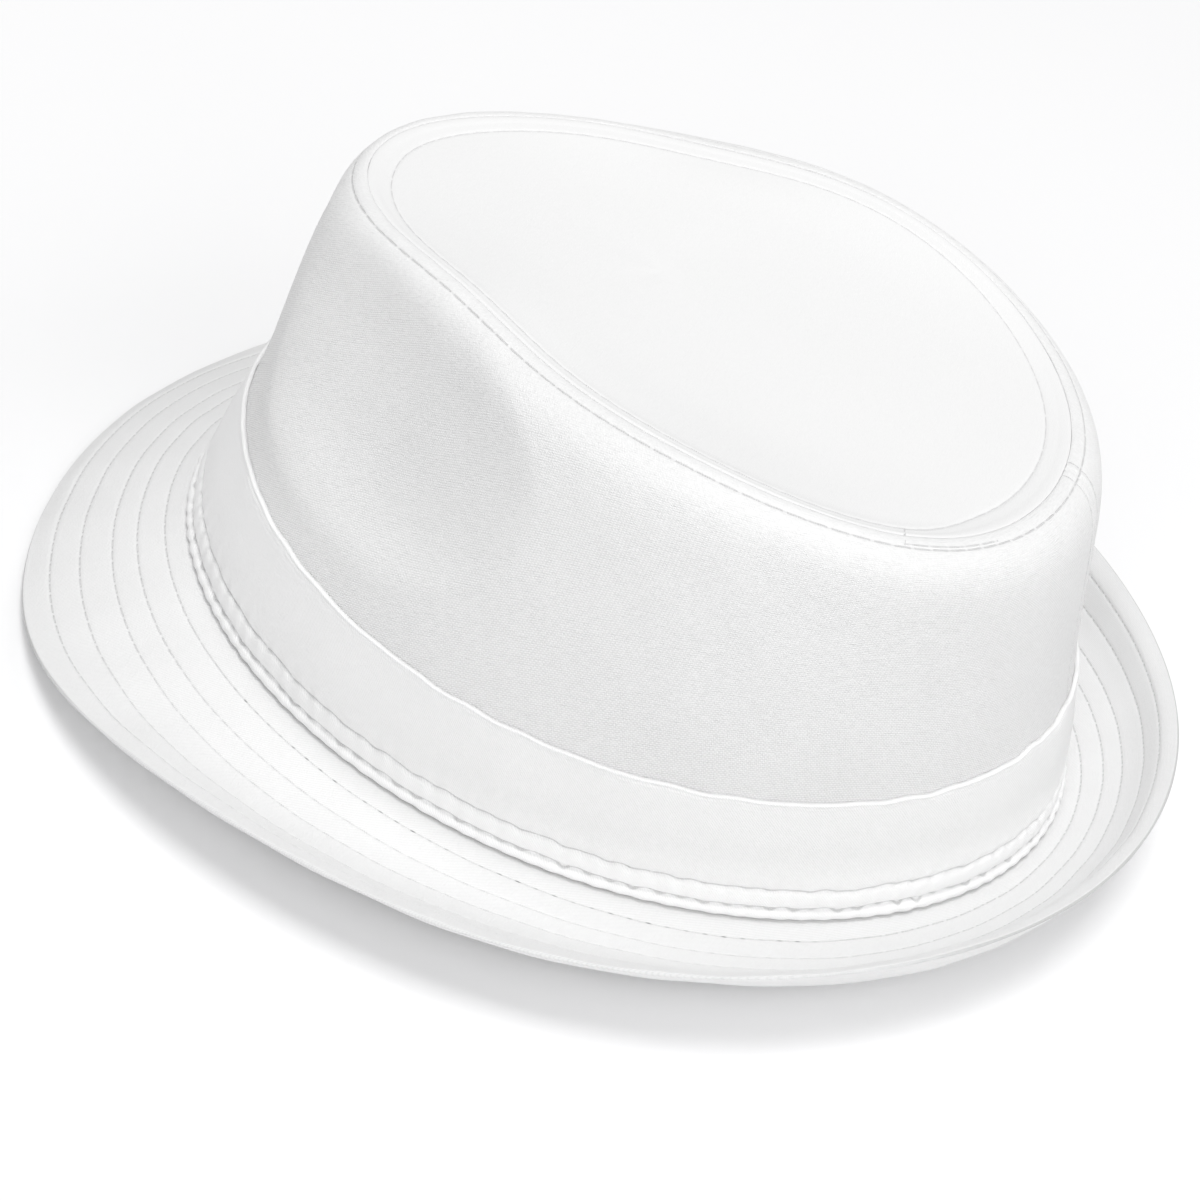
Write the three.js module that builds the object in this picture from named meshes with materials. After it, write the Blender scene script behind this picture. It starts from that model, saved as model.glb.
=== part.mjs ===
// A plain white cotton trilby, cut and sewn from four pieces: crown tip, crown side, band and brim.
// Millimetres, +Z up. The front of the hat looks along -Y and the wearer's left is +X.
// The hat lies on its brim at z = 0, on the front edge and beside the head opening.
// Bearings round the hat run from 0 at the front over 90 at the wearer's left to 180 at the back,
// and the right half mirrors the left.
import * as THREE from 'three';

const radians = THREE.MathUtils.degToRad;
const mix = THREE.MathUtils.lerp;

// Head opening, measured inside the foot of the crown
const HEAD_LENGTH = 201.6;
const HEAD_WIDTH = 167.6;
// The opening is saddle shaped: its ends stand above its sides by twice this
const SADDLE = 2.2;

// Cloth
const CROWN_CLOTH = 2.0;
const BAND_CLOTH = 1.3;
const BRIM_CLOTH = 2.2;
const SEWN_GAP = 0.3;

// Band: height at its middle bearing, how much higher it is in front, and its two rolled edges
const BAND_HEIGHT = 29.8;
const BAND_FRONT_RISE = 0.3;
const FOOT_ROLL = 1.5;
const TOP_ROLL = 0.6;
const FOOT_ROLL_STANDS_OUT = 0.75;
const TOP_ROLL_STANDS_OUT = 0.25;
// Each roll's arc in degrees, from its underside up, and where the foot roll has faded, in its radii
const FOOT_ROLL_ARC = { from: -90, to: 60 };
const TOP_ROLL_ARC = { from: -60, to: 90 };
const FOOT_ROLL_FADES = 2.5;

// How far the crown leans in over the height of the band, and how that changes to the ends
const BAND_LEAN = 3.4;
const BAND_LEAN_ENDS = 3.9;
// The middle of the front leans in less than that, by this much over these degrees
const BAND_FRONT_UPRIGHT = { by: 1.2, turn: 22 };

// Crown: reach of the tip seam from the middle of the tip, its height over the head opening, the
// lean of the wall above the band in degrees, and how far the soft shoulder stands out
const CROWN_SECTIONS = [
  { at: 0, tipReach: 65.9, tipHeight: 87.6, lean: 3, shoulder: 6 },
  { at: 30, tipReach: 60.4, tipHeight: 88.6, lean: 13.5, shoulder: 12.3 },
  { at: 60, tipReach: 54.3, tipHeight: 90.4, lean: 10.3, shoulder: 13.3 },
  { at: 90, tipReach: 61.6, tipHeight: 89.5, lean: 4.5, shoulder: 18.8 },
  { at: 120, tipReach: 78.1, tipHeight: 88.5, lean: 5.3, shoulder: 16 },
  { at: 150, tipReach: 90.4, tipHeight: 82.5, lean: 14.1, shoulder: 14.3 },
  { at: 180, tipReach: 92.7, tipHeight: 81.2, lean: 18.5, shoulder: 13.4 },
];
const TIP_MIDDLE_Y = -18.4;
const SHOULDER_DROP = 0.2;
const WALL_STIFFNESS = 0.62;

// Tip panel: the ridge over the seam allowance, and the flat field sunk inside it
const RIDGE_WIDTH = 5.5;
const RIDGE_CREST = 1.8;
const RIDGE_RISE = 0.12;
const FIELD_SINK = 0.9;
const FIELD_SINK_BACK = 0.5;

// Pinch on each side of the front: its middle, and its half sizes toward the front, the back, the
// top and the foot, in degrees round the hat and in height
const PINCH_BEARING = 52;
const PINCH_HEIGHT = 63.8;
const PINCH_FRONT = 28;
const PINCH_BACK = 34;
const PINCH_ABOVE = 27;
const PINCH_BELOW = 26.2;
// How much wider the pinch is at its top than at its middle, how square its outline is, and its depth
const PINCH_WIDENS = 0.28;
const PINCH_SQUARENESS = 2.9;
const PINCH_DEPTH = 7;
// How gently its front and its back side fall in, and how far from its middle each form holds
const PINCH_FRONT_SOFTNESS = 1.8;
const PINCH_BACK_SOFTNESS = 1.48;
const PINCH_CHANGE = 18;

// Between the pinches the front is pressed flat, and a ridge stands out along each pinch
const FRONT_FLAT = { depth: 1.2, turn: 22 };
const FRONT_RIDGE = { standsOut: 3.5, bearing: 38, turn: 12.3, height: 57.4, reach: 22 };
// Heights between which the flat and the ridge come in above the band and run out at the shoulder
const SHAPING_COMES_IN = { from: 30, to: 45 };
const SHAPING_RUNS_OUT = { from: 75, to: 87 };

// Brim: width along the cloth, and its slope in degrees at the root, a third out, near the edge
// and at the edge, positive where it climbs outward
const BRIM_SECTIONS = [
  { at: 0, width: 31.1, root: -26, inner: -21, outer: -23, edge: -35 },
  { at: 30, width: 35.4, root: -20, inner: -18, outer: -15, edge: -10 },
  { at: 60, width: 40.9, root: -3, inner: -9, outer: 24, edge: 29 },
  { at: 90, width: 42.6, root: 1, inner: 8.5, outer: 36, edge: 36 },
  { at: 120, width: 39.2, root: -3, inner: 20, outer: 53, edge: 45 },
  { at: 150, width: 31.5, root: 6, inner: 30, outer: 70, edge: 43 },
  { at: 180, width: 28.0, root: 24, inner: 37, outer: 71, edge: 44 },
];
const SLOPE_STOPS = [0, 0.3, 0.78, 1];

// How the hat lies: nose up by the angle that brings the front edge and the back of the head
// opening to the floor together, with the lowest cloth pressed flat by this much
const REST_PRESS = 0.6;
const STEEPEST_PITCH = radians(8);
const PITCH_ROUNDS = 30;

// Steps round the hat, up the wall above the band, and out over the brim and the tip
const TURN_STEPS = 88;
const WALL_STEPS = 9;
const BRIM_STEPS = 8;
const FINE_BRIM_STEPS = 6;
const FIELD_STEPS = 3;
const ROLL_STEPS = 3;
// Small step, in radians or as a share, for the directions of curves and faces
const SMALL_STEP = 1e-3;

const WHITE_CLOTH = { color: 0xf1f1f0, roughness: 0.92, metalness: 0 };

// A smooth even curve round the hat through the rows of a table, as a cosine series. At a share under
// 1 it gives the surface of a sheet stretched inside that curve, at that share from its middle
function roundTheHat(rows, column) {
  const last = rows.length - 1;
  const weight = (index) => (index === 0 || index === last ? 0.5 : 1);
  const waves = rows.map((_, wave) => {
    const sum = rows.reduce((total, row, index) =>
      total + weight(index) * row[column] * Math.cos(Math.PI * wave * index / last), 0);
    return 2 / last * weight(wave) * sum;
  });
  return (bearing, share = 1) => waves.reduce((total, size, wave) =>
    total + size * share ** wave * Math.cos(wave * bearing), 0);
}

const tipReach = roundTheHat(CROWN_SECTIONS, 'tipReach');
const tipHeight = roundTheHat(CROWN_SECTIONS, 'tipHeight');
const wallLean = roundTheHat(CROWN_SECTIONS, 'lean');
const shoulderOut = roundTheHat(CROWN_SECTIONS, 'shoulder');
const brimWidth = roundTheHat(BRIM_SECTIONS, 'width');
const brimSlopes = ['root', 'inner', 'outer', 'edge'].map((column) => roundTheHat(BRIM_SECTIONS, column));

// Point and outward direction on a closed curve round the hat, offset outward
function offsetCurve(curve, bearing, outset) {
  const [x, y] = curve(bearing);
  const [x1, y1] = curve(bearing + SMALL_STEP);
  const [x0, y0] = curve(bearing - SMALL_STEP);
  const length = Math.hypot(x1 - x0, y1 - y0);
  const out = new THREE.Vector2((y1 - y0) / length, -(x1 - x0) / length);
  return { x: x + outset * out.x, y: y + outset * out.y, out };
}

const headOval = (bearing) =>
  [HEAD_WIDTH / 2 * Math.sin(bearing), -HEAD_LENGTH / 2 * Math.cos(bearing)];
const tipOutline = (bearing) =>
  [tipReach(bearing) * Math.sin(bearing), TIP_MIDDLE_Y - tipReach(bearing) * Math.cos(bearing)];
const footHeight = (bearing) => SADDLE * Math.cos(2 * bearing);
const bandHeight = (bearing) => BAND_HEIGHT + BAND_FRONT_RISE * Math.cos(bearing);
const hump = (distance, reach) => Math.exp(-((distance / reach) ** 2));

// Degrees from the front at a bearing, the same on both sides
function turnFromFront(bearing) {
  const turned = THREE.MathUtils.euclideanModulo(bearing + Math.PI, 2 * Math.PI) - Math.PI;
  return THREE.MathUtils.radToDeg(Math.abs(turned));
}

// How far the crown leans in at the top of the band
function bandLean(bearing) {
  const upright = BAND_FRONT_UPRIGHT.by * hump(turnFromFront(bearing), BAND_FRONT_UPRIGHT.turn);
  return BAND_LEAN + BAND_LEAN_ENDS * Math.cos(2 * bearing) - upright;
}

// Point at a height over the foot of the crown, outset from the head opening, within the band
function lowWall(bearing, height, outset) {
  const leanIn = bandLean(bearing) * height / bandHeight(bearing);
  const { x, y } = offsetCurve(headOval, bearing, outset - leanIn);
  return new THREE.Vector3(x, y, footHeight(bearing) + height);
}

// Depth of the pinch at degrees from the front and a height over the head opening
function pinch(turn, height) {
  const behind = turn - PINCH_BEARING;
  const above = height - PINCH_HEIGHT;
  const up = above / (above > 0 ? PINCH_ABOVE : PINCH_BELOW);
  const halfTurn = (behind > 0 ? PINCH_BACK : PINCH_FRONT) * (1 + PINCH_WIDENS * up);
  const outside = Math.abs(behind / halfTurn) ** PINCH_SQUARENESS + Math.abs(up) ** PINCH_SQUARENESS;
  if (outside >= 1) return 0;
  const back = THREE.MathUtils.smoothstep(behind, -PINCH_CHANGE, PINCH_CHANGE);
  return PINCH_DEPTH * (1 - outside) ** mix(PINCH_FRONT_SOFTNESS, PINCH_BACK_SOFTNESS, back);
}

// How far the crown is shaped inward by hand at a bearing and a height over the head opening
function shapedInward(bearing, height) {
  const turn = turnFromFront(bearing);
  const shaping = THREE.MathUtils.smoothstep(height, SHAPING_COMES_IN.from, SHAPING_COMES_IN.to)
    * (1 - THREE.MathUtils.smoothstep(height, SHAPING_RUNS_OUT.from, SHAPING_RUNS_OUT.to));
  const flat = FRONT_FLAT.depth * hump(turn, FRONT_FLAT.turn);
  const ridge = FRONT_RIDGE.standsOut * hump(turn - FRONT_RIDGE.bearing, FRONT_RIDGE.turn)
    * hump(height - FRONT_RIDGE.height, FRONT_RIDGE.reach);
  return pinch(turn, height) + shaping * (flat - ridge);
}

// Outer face of the crown above the band: from the band's top edge (0) to the tip seam (1)
function highWall(bearing, share) {
  const start = lowWall(bearing, bandHeight(bearing), CROWN_CLOTH);
  const seam = offsetCurve(tipOutline, bearing, 0);
  const end = new THREE.Vector3(seam.x, seam.y, tipHeight(bearing));
  const low = offsetCurve(headOval, bearing, 0).out;
  const reach = WALL_STIFFNESS * (end.z - start.z);
  const lean = radians(wallLean(bearing));
  const first = new THREE.Vector3(
    start.x - low.x * reach * Math.sin(lean),
    start.y - low.y * reach * Math.sin(lean),
    start.z + reach * Math.cos(lean));
  const second = new THREE.Vector3(
    end.x + seam.out.x * shoulderOut(bearing),
    end.y + seam.out.y * shoulderOut(bearing),
    end.z - SHOULDER_DROP);
  const point = new THREE.CubicBezierCurve3(start, first, second, end).getPoint(share);
  const out = low.clone().lerp(seam.out, share).normalize();
  const inward = shapedInward(bearing, point.z);
  point.x -= out.x * inward;
  point.y -= out.y * inward;
  return point;
}

// Middle direction out of the cloth at a point of a face given as face(bearing, share)
function faceNormal(face, bearing, share) {
  const along = face(bearing + SMALL_STEP, share).sub(face(bearing - SMALL_STEP, share));
  const above = face(bearing, Math.min(share + SMALL_STEP, 1));
  const below = face(bearing, Math.max(share - SMALL_STEP, 0));
  return along.cross(above.sub(below)).normalize();
}

// Slope of the brim at a share of its width, in radians
function brimSlope(bearing, share) {
  const slopes = brimSlopes.map((slope) => radians(slope(bearing)));
  const zone = share < SLOPE_STOPS[1] ? 0 : share < SLOPE_STOPS[2] ? 1 : 2;
  const within = THREE.MathUtils.smoothstep(share, SLOPE_STOPS[zone], SLOPE_STOPS[zone + 1]);
  return mix(slopes[zone], slopes[zone + 1], within);
}

// Top face of the brim, from the foot of the band outward: run outward, height and slope of rows
function brimRows(bearing) {
  const steps = BRIM_STEPS * FINE_BRIM_STEPS;
  const step = brimWidth(bearing) / steps;
  const rows = [];
  let run = 0;
  let rise = 0;
  for (let index = 0; index <= steps; index += 1) {
    if (index % FINE_BRIM_STEPS === 0) {
      rows.push({ run, rise, slope: brimSlope(bearing, index / steps) });
    }
    const slope = brimSlope(bearing, (index + 0.5) / steps);
    run += step * Math.cos(slope);
    rise += step * Math.sin(slope);
  }
  return rows;
}

// Closed ring of cloth: profile(bearing) gives the section's outline, outside upward first
function ringOfCloth(profile) {
  const sections = [];
  for (let step = 0; step < TURN_STEPS; step += 1) {
    sections.push(profile(2 * Math.PI * step / TURN_STEPS));
  }
  const rows = sections[0].length;
  const index = [];
  for (let step = 0; step < TURN_STEPS; step += 1) {
    for (let row = 0; row < rows; row += 1) {
      const a = step * rows + row;
      const b = (step + 1) % TURN_STEPS * rows + row;
      const c = (step + 1) % TURN_STEPS * rows + (row + 1) % rows;
      const d = step * rows + (row + 1) % rows;
      index.push(a, b, c, a, c, d);
    }
  }
  return solid(sections.flat(), index);
}

// Closed panel: profile(bearing) gives the section's outline from the underside's middle outward
// and back over the top, without the two middle points
function panelOfCloth(profile, bottomMiddle, topMiddle) {
  const sections = [];
  for (let step = 0; step < TURN_STEPS; step += 1) {
    sections.push(profile(2 * Math.PI * step / TURN_STEPS));
  }
  const rows = sections[0].length;
  const points = [...sections.flat(), bottomMiddle, topMiddle];
  const bottom = points.length - 2;
  const top = points.length - 1;
  const index = [];
  for (let step = 0; step < TURN_STEPS; step += 1) {
    const here = step * rows;
    const next = (step + 1) % TURN_STEPS * rows;
    index.push(bottom, next, here, top, here + rows - 1, next + rows - 1);
    for (let row = 0; row < rows - 1; row += 1) {
      index.push(here + row, next + row, next + row + 1, here + row, next + row + 1, here + row + 1);
    }
  }
  return solid(points, index);
}

function solid(points, index) {
  const geometry = new THREE.BufferGeometry().setFromPoints(points);
  geometry.setIndex(index);
  geometry.computeVertexNormals();
  return geometry;
}

// The side panel of the crown, with its pinch and its shoulder
function crownSide() {
  return ringOfCloth((bearing) => {
    const outside = [];
    const inside = [];
    for (const height of [SEWN_GAP, bandHeight(bearing) / 2]) {
      outside.push(lowWall(bearing, height, CROWN_CLOTH));
      inside.push(lowWall(bearing, height, 0));
    }
    for (let step = 0; step <= WALL_STEPS; step += 1) {
      const share = step / WALL_STEPS;
      const point = highWall(bearing, share);
      const normal = faceNormal(highWall, bearing, share);
      if (step === WALL_STEPS) normal.set(0, 0, 1);
      outside.push(point);
      inside.push(point.clone().addScaledVector(normal, -CROWN_CLOTH));
    }
    return [...outside, ...inside.reverse()];
  });
}

// The tip panel: a ridge over the seam, and a field stretched inside it
function crownTip() {
  const field = (bearing, share) => {
    const edge = offsetCurve(tipOutline, bearing, -RIDGE_WIDTH);
    const sink = FIELD_SINK + FIELD_SINK_BACK * (1 - share * Math.cos(bearing)) / 2;
    return new THREE.Vector3(
      edge.x * share,
      mix(TIP_MIDDLE_Y, edge.y, share),
      tipHeight(bearing, share) - sink);
  };
  const under = (point) => new THREE.Vector3(point.x, point.y, point.z - CROWN_CLOTH);
  const middle = field(0, 0);
  const profile = (bearing) => {
    const rim = offsetCurve(tipOutline, bearing, -SEWN_GAP);
    const crest = offsetCurve(tipOutline, bearing, -RIDGE_CREST);
    const top = [
      new THREE.Vector3(rim.x, rim.y, tipHeight(bearing)),
      new THREE.Vector3(crest.x, crest.y, tipHeight(bearing) + RIDGE_RISE),
    ];
    for (let step = 0; step < FIELD_STEPS; step += 1) {
      top.push(field(bearing, 1 - step / FIELD_STEPS));
    }
    return [...top.map(under).reverse(), ...top];
  };
  return panelOfCloth(profile, under(middle), middle);
}

// The band round the foot of the crown: a flat face between a foot roll and a thin top roll
function hatBand() {
  const back = CROWN_CLOTH + SEWN_GAP;
  const face = back + BAND_CLOTH;
  // One roll's outline as heights and outsets, along its arc round a middle
  const roll = (radius, height, outset, arc) => {
    const outline = [];
    for (let step = 0; step <= ROLL_STEPS; step += 1) {
      const angle = radians(mix(arc.from, arc.to, step / ROLL_STEPS));
      outline.push([height + radius * Math.sin(angle), outset + radius * Math.cos(angle)]);
    }
    return outline;
  };
  const footOut = face + FOOT_ROLL_STANDS_OUT - FOOT_ROLL;
  const topOut = face + TOP_ROLL_STANDS_OUT - TOP_ROLL;
  const footRoll = roll(FOOT_ROLL, SEWN_GAP + FOOT_ROLL, footOut, FOOT_ROLL_ARC);
  return ringOfCloth((bearing) => {
    const top = bandHeight(bearing);
    const topRoll = roll(TOP_ROLL, top - TOP_ROLL, topOut, TOP_ROLL_ARC);
    const outline = [
      [SEWN_GAP, back],
      ...footRoll,
      [FOOT_ROLL_FADES * FOOT_ROLL, face],
      [top / 2, face],
      ...topRoll,
      [top, back],
    ];
    return outline.map(([height, outset]) => lowWall(bearing, height, outset));
  });
}

// The brim: a flat flange under the crown wall and the band, then the shaped width
function brim() {
  const foot = CROWN_CLOTH + SEWN_GAP + BAND_CLOTH + FOOT_ROLL_STANDS_OUT;
  return ringOfCloth((bearing) => {
    const rootSlope = brimSlope(bearing, 0) / 2;
    const rows = brimRows(bearing);
    rows[0].slope = rootSlope;
    rows.unshift({ run: -foot, rise: 0, slope: 0 });
    const place = (run, height) => {
      const { x, y } = offsetCurve(headOval, bearing, foot + run);
      return new THREE.Vector3(x, y, footHeight(bearing) + height);
    };
    const top = rows.map(({ run, rise }) => place(run, rise));
    const under = rows.map(({ run, rise, slope }) =>
      place(run + BRIM_CLOTH * Math.sin(slope), rise - BRIM_CLOTH * Math.cos(slope)));
    return [...under, ...top.reverse()];
  });
}

// The pitch at which the lowest cloth in front and the lowest at the back touch one floor
function restPitch(geometry) {
  const { array } = geometry.attributes.position;
  let level = 0;
  let steep = STEEPEST_PITCH;
  for (let round = 0; round < PITCH_ROUNDS; round += 1) {
    const pitch = (level + steep) / 2;
    let front = Infinity;
    let back = Infinity;
    for (let at = 0; at < array.length; at += 3) {
      const height = array[at + 2] * Math.cos(pitch) - array[at + 1] * Math.sin(pitch);
      if (array[at + 1] < 0) front = Math.min(front, height);
      else back = Math.min(back, height);
    }
    if (front < back) level = pitch;
    else steep = pitch;
  }
  return level;
}

const pieces = {
  crown_tip: crownTip(),
  crown_side: crownSide(),
  hat_band: hatBand(),
  brim: brim(),
};

// The hat settles on its brim, whose lowest cloth is pressed flat on the floor
const pitch = restPitch(pieces.brim);
for (const geometry of Object.values(pieces)) geometry.rotateX(-pitch);
pieces.brim.computeBoundingBox();
const drop = pieces.brim.boundingBox.min.z + REST_PRESS;
for (const geometry of Object.values(pieces)) geometry.translate(0, 0, -drop);
const cloth = pieces.brim.attributes.position;
for (let index = 0; index < cloth.count; index += 1) {
  cloth.setZ(index, Math.max(cloth.getZ(index), 0));
}

// The origin is under the middle of the hat's outline
const hat = new THREE.Group();
pieces.brim.computeBoundingBox();
hat.position.y = -(pieces.brim.boundingBox.min.y + pieces.brim.boundingBox.max.y) / 2;
for (const [name, geometry] of Object.entries(pieces)) {
  const mesh = new THREE.Mesh(geometry, new THREE.MeshStandardMaterial(WHITE_CLOTH));
  mesh.name = name;
  hat.add(mesh);
}

export default hat;
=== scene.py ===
import math

import bpy
import numpy as np
from mathutils import Matrix, Vector


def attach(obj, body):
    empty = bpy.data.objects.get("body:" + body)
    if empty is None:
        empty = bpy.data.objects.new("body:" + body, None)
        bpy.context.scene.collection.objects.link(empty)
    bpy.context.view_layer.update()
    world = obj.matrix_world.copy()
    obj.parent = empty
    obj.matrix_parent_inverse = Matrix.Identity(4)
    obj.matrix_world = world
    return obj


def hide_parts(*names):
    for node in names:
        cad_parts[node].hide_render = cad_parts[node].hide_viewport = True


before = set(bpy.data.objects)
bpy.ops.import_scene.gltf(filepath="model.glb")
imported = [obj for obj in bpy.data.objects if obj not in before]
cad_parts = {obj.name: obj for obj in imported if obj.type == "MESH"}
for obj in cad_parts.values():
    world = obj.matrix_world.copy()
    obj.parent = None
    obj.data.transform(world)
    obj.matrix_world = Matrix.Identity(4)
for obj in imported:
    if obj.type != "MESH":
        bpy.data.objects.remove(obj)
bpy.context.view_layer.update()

# Crown side
# The tapered side panel of the crown, white cotton poplin fused to a stiff interfacing. It is one strip
# closed by a seam down the back, pinched by hand on both sides of the front, and turned over a soft
# shoulder at the top.

MM = 0.001
SMALL_STEP = 1e-3

HEAD_LENGTH = 201.6
HEAD_WIDTH = 167.6
# The head opening is saddle shaped: its ends stand above its sides by twice this
SADDLE = 2.2

CROWN_CLOTH = 2.0
SEWN_GAP = 0.3

BAND_HEIGHT = 29.8
BAND_FRONT_RISE = 0.3
BAND_LEAN = 3.4
BAND_LEAN_ENDS = 3.9
# The middle of the front leans in less than that, by this much over these degrees
BAND_FRONT_UPRIGHT = {"by": 1.2, "turn": 22}

# Reach of the tip seam from the middle of the tip, its height over the head opening, the lean of the
# wall above the band in degrees, and how far the soft shoulder stands out
CROWN_SECTIONS = [
    {"at": 0, "tip_reach": 65.9, "tip_height": 87.6, "lean": 3, "shoulder": 6},
    {"at": 30, "tip_reach": 60.4, "tip_height": 88.6, "lean": 13.5, "shoulder": 12.3},
    {"at": 60, "tip_reach": 54.3, "tip_height": 90.4, "lean": 10.3, "shoulder": 13.3},
    {"at": 90, "tip_reach": 61.6, "tip_height": 89.5, "lean": 4.5, "shoulder": 18.8},
    {"at": 120, "tip_reach": 78.1, "tip_height": 88.5, "lean": 5.3, "shoulder": 16},
    {"at": 150, "tip_reach": 90.4, "tip_height": 82.5, "lean": 14.1, "shoulder": 14.3},
    {"at": 180, "tip_reach": 92.7, "tip_height": 81.2, "lean": 18.5, "shoulder": 13.4},
]
TIP_MIDDLE_Y = -18.4
SHOULDER_DROP = 0.2
WALL_STIFFNESS = 0.62

# Pinch on each side of the front: its middle, and its half sizes toward the front, the back, the top
# and the foot, in degrees round the hat and in height
PINCH_BEARING = 52
PINCH_HEIGHT = 63.8
PINCH_FRONT = 28
PINCH_BACK = 34
PINCH_ABOVE = 27
PINCH_BELOW = 26.2
# How much wider the pinch is at its top, how square its outline is, its depth, and how gently it falls in
PINCH_WIDENS = 0.28
PINCH_SQUARENESS = 2.9
PINCH_DEPTH = 7
PINCH_FRONT_SOFTNESS = 1.8
PINCH_BACK_SOFTNESS = 1.48
PINCH_CHANGE = 18
# Far above and below its middle the pinch keeps at least this share of its width
PINCH_NARROWEST = 0.1

# Between the pinches the front is pressed flat, and a ridge stands out along each pinch
FRONT_FLAT = {"depth": 1.2, "turn": 22}
FRONT_RIDGE = {"stands_out": 3.5, "bearing": 38, "turn": 12.3, "height": 57.4, "reach": 22}
SHAPING_COMES_IN = {"start": 30, "end": 45}
SHAPING_RUNS_OUT = {"start": 75, "end": 87}

# How the hat lies: nose up by this pitch, and moved so that it rests on its brim over the origin
REST_PITCH = math.radians(2.8451)
REST_BACKWARD = 4.051
REST_RISE = 5.425


def round_the_hat(rows, column):
    """A smooth even curve round the hat through a table's rows, or the sheet stretched inside it."""
    last = len(rows) - 1
    waves = []
    for wave in range(last + 1):
        total = 0
        for row in rows:
            share = 0.5 if row in (rows[0], rows[-1]) else 1
            total += share * row[column] * math.cos(math.radians(wave * row["at"]))
        waves.append(2 / last * (0.5 if wave in (0, last) else 1) * total)

    def height(bearing, share=1):
        return sum(size * share ** wave * np.cos(wave * bearing) for wave, size in enumerate(waves))

    return height


tip_reach = round_the_hat(CROWN_SECTIONS, "tip_reach")
tip_height = round_the_hat(CROWN_SECTIONS, "tip_height")
wall_lean = round_the_hat(CROWN_SECTIONS, "lean")
shoulder_out = round_the_hat(CROWN_SECTIONS, "shoulder")


def head_oval(bearing):
    """The head opening at its foot, by bearing: 0 in front, a quarter turn at the wearer's left."""
    return HEAD_WIDTH / 2 * np.sin(bearing), -HEAD_LENGTH / 2 * np.cos(bearing)


def tip_outline(bearing):
    """The seam of the tip seen from above."""
    return tip_reach(bearing) * np.sin(bearing), TIP_MIDDLE_Y - tip_reach(bearing) * np.cos(bearing)


def offset_curve(curve, bearing, outset):
    """Points of a closed curve round the hat moved outward, and their outward directions."""
    x, y = curve(bearing)
    x1, y1 = curve(bearing + SMALL_STEP)
    x0, y0 = curve(bearing - SMALL_STEP)
    length = np.hypot(x1 - x0, y1 - y0)
    out = np.stack(((y1 - y0) / length, (x0 - x1) / length), -1)
    return x + outset * out[..., 0], y + outset * out[..., 1], out


def foot_height(bearing):
    """Height of the foot of the crown over the middle of the head opening."""
    return SADDLE * np.cos(2 * bearing)


def band_height(bearing):
    """Height of the band's top edge over the foot of the crown."""
    return BAND_HEIGHT + BAND_FRONT_RISE * np.cos(bearing)


def turn_from_front(bearing):
    """Degrees from the front at a bearing, the same on both sides."""
    return np.degrees(np.abs((bearing + math.pi) % (2 * math.pi) - math.pi))


def hump(distance, reach):
    """1 at no distance, fading softly over the reach."""
    return np.exp(-(distance / reach) ** 2)


def low_wall(bearing, height, outset):
    """Points at a height over the foot of the crown, outset from the head opening."""
    upright = BAND_FRONT_UPRIGHT["by"] * hump(turn_from_front(bearing), BAND_FRONT_UPRIGHT["turn"])
    lean = BAND_LEAN + BAND_LEAN_ENDS * np.cos(2 * bearing) - upright
    lean_in = lean * height / band_height(bearing)
    x, y, _ = offset_curve(head_oval, bearing, outset - lean_in)
    return np.stack((x, y, foot_height(bearing) + height), -1)


def eased(value, start=0, end=1):
    """From 0 at the start to 1 at the end, with soft ends."""
    share = np.clip((value - start) / (end - start), 0, 1)
    return share * share * (3 - 2 * share)


def pinch(turn, height):
    """Depth of the pinch at degrees from the front and a height over the head opening."""
    behind = turn - PINCH_BEARING
    above = height - PINCH_HEIGHT
    up = above / np.where(above > 0, PINCH_ABOVE, PINCH_BELOW)
    half_turn = np.where(behind > 0, PINCH_BACK, PINCH_FRONT)
    half_turn = half_turn * np.maximum(1 + PINCH_WIDENS * up, PINCH_NARROWEST)
    outside = np.abs(behind / half_turn) ** PINCH_SQUARENESS + np.abs(up) ** PINCH_SQUARENESS
    back = eased(behind, -PINCH_CHANGE, PINCH_CHANGE)
    softness = PINCH_FRONT_SOFTNESS + (PINCH_BACK_SOFTNESS - PINCH_FRONT_SOFTNESS) * back
    return PINCH_DEPTH * np.clip(1 - outside, 0, 1) ** softness


def shaped_inward(bearing, height):
    """How far the crown is shaped inward by hand at a bearing and a height over the head opening."""
    turn = turn_from_front(bearing)
    shaping = eased(height, **SHAPING_COMES_IN) * (1 - eased(height, **SHAPING_RUNS_OUT))
    flat = FRONT_FLAT["depth"] * hump(turn, FRONT_FLAT["turn"])
    ridge = FRONT_RIDGE["stands_out"] * hump(turn - FRONT_RIDGE["bearing"], FRONT_RIDGE["turn"])
    ridge *= hump(height - FRONT_RIDGE["height"], FRONT_RIDGE["reach"])
    return pinch(turn, height) + shaping * (flat - ridge)


def unit(vectors):
    """Vectors at length 1."""
    return vectors / np.linalg.norm(vectors, axis=-1, keepdims=True)


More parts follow.
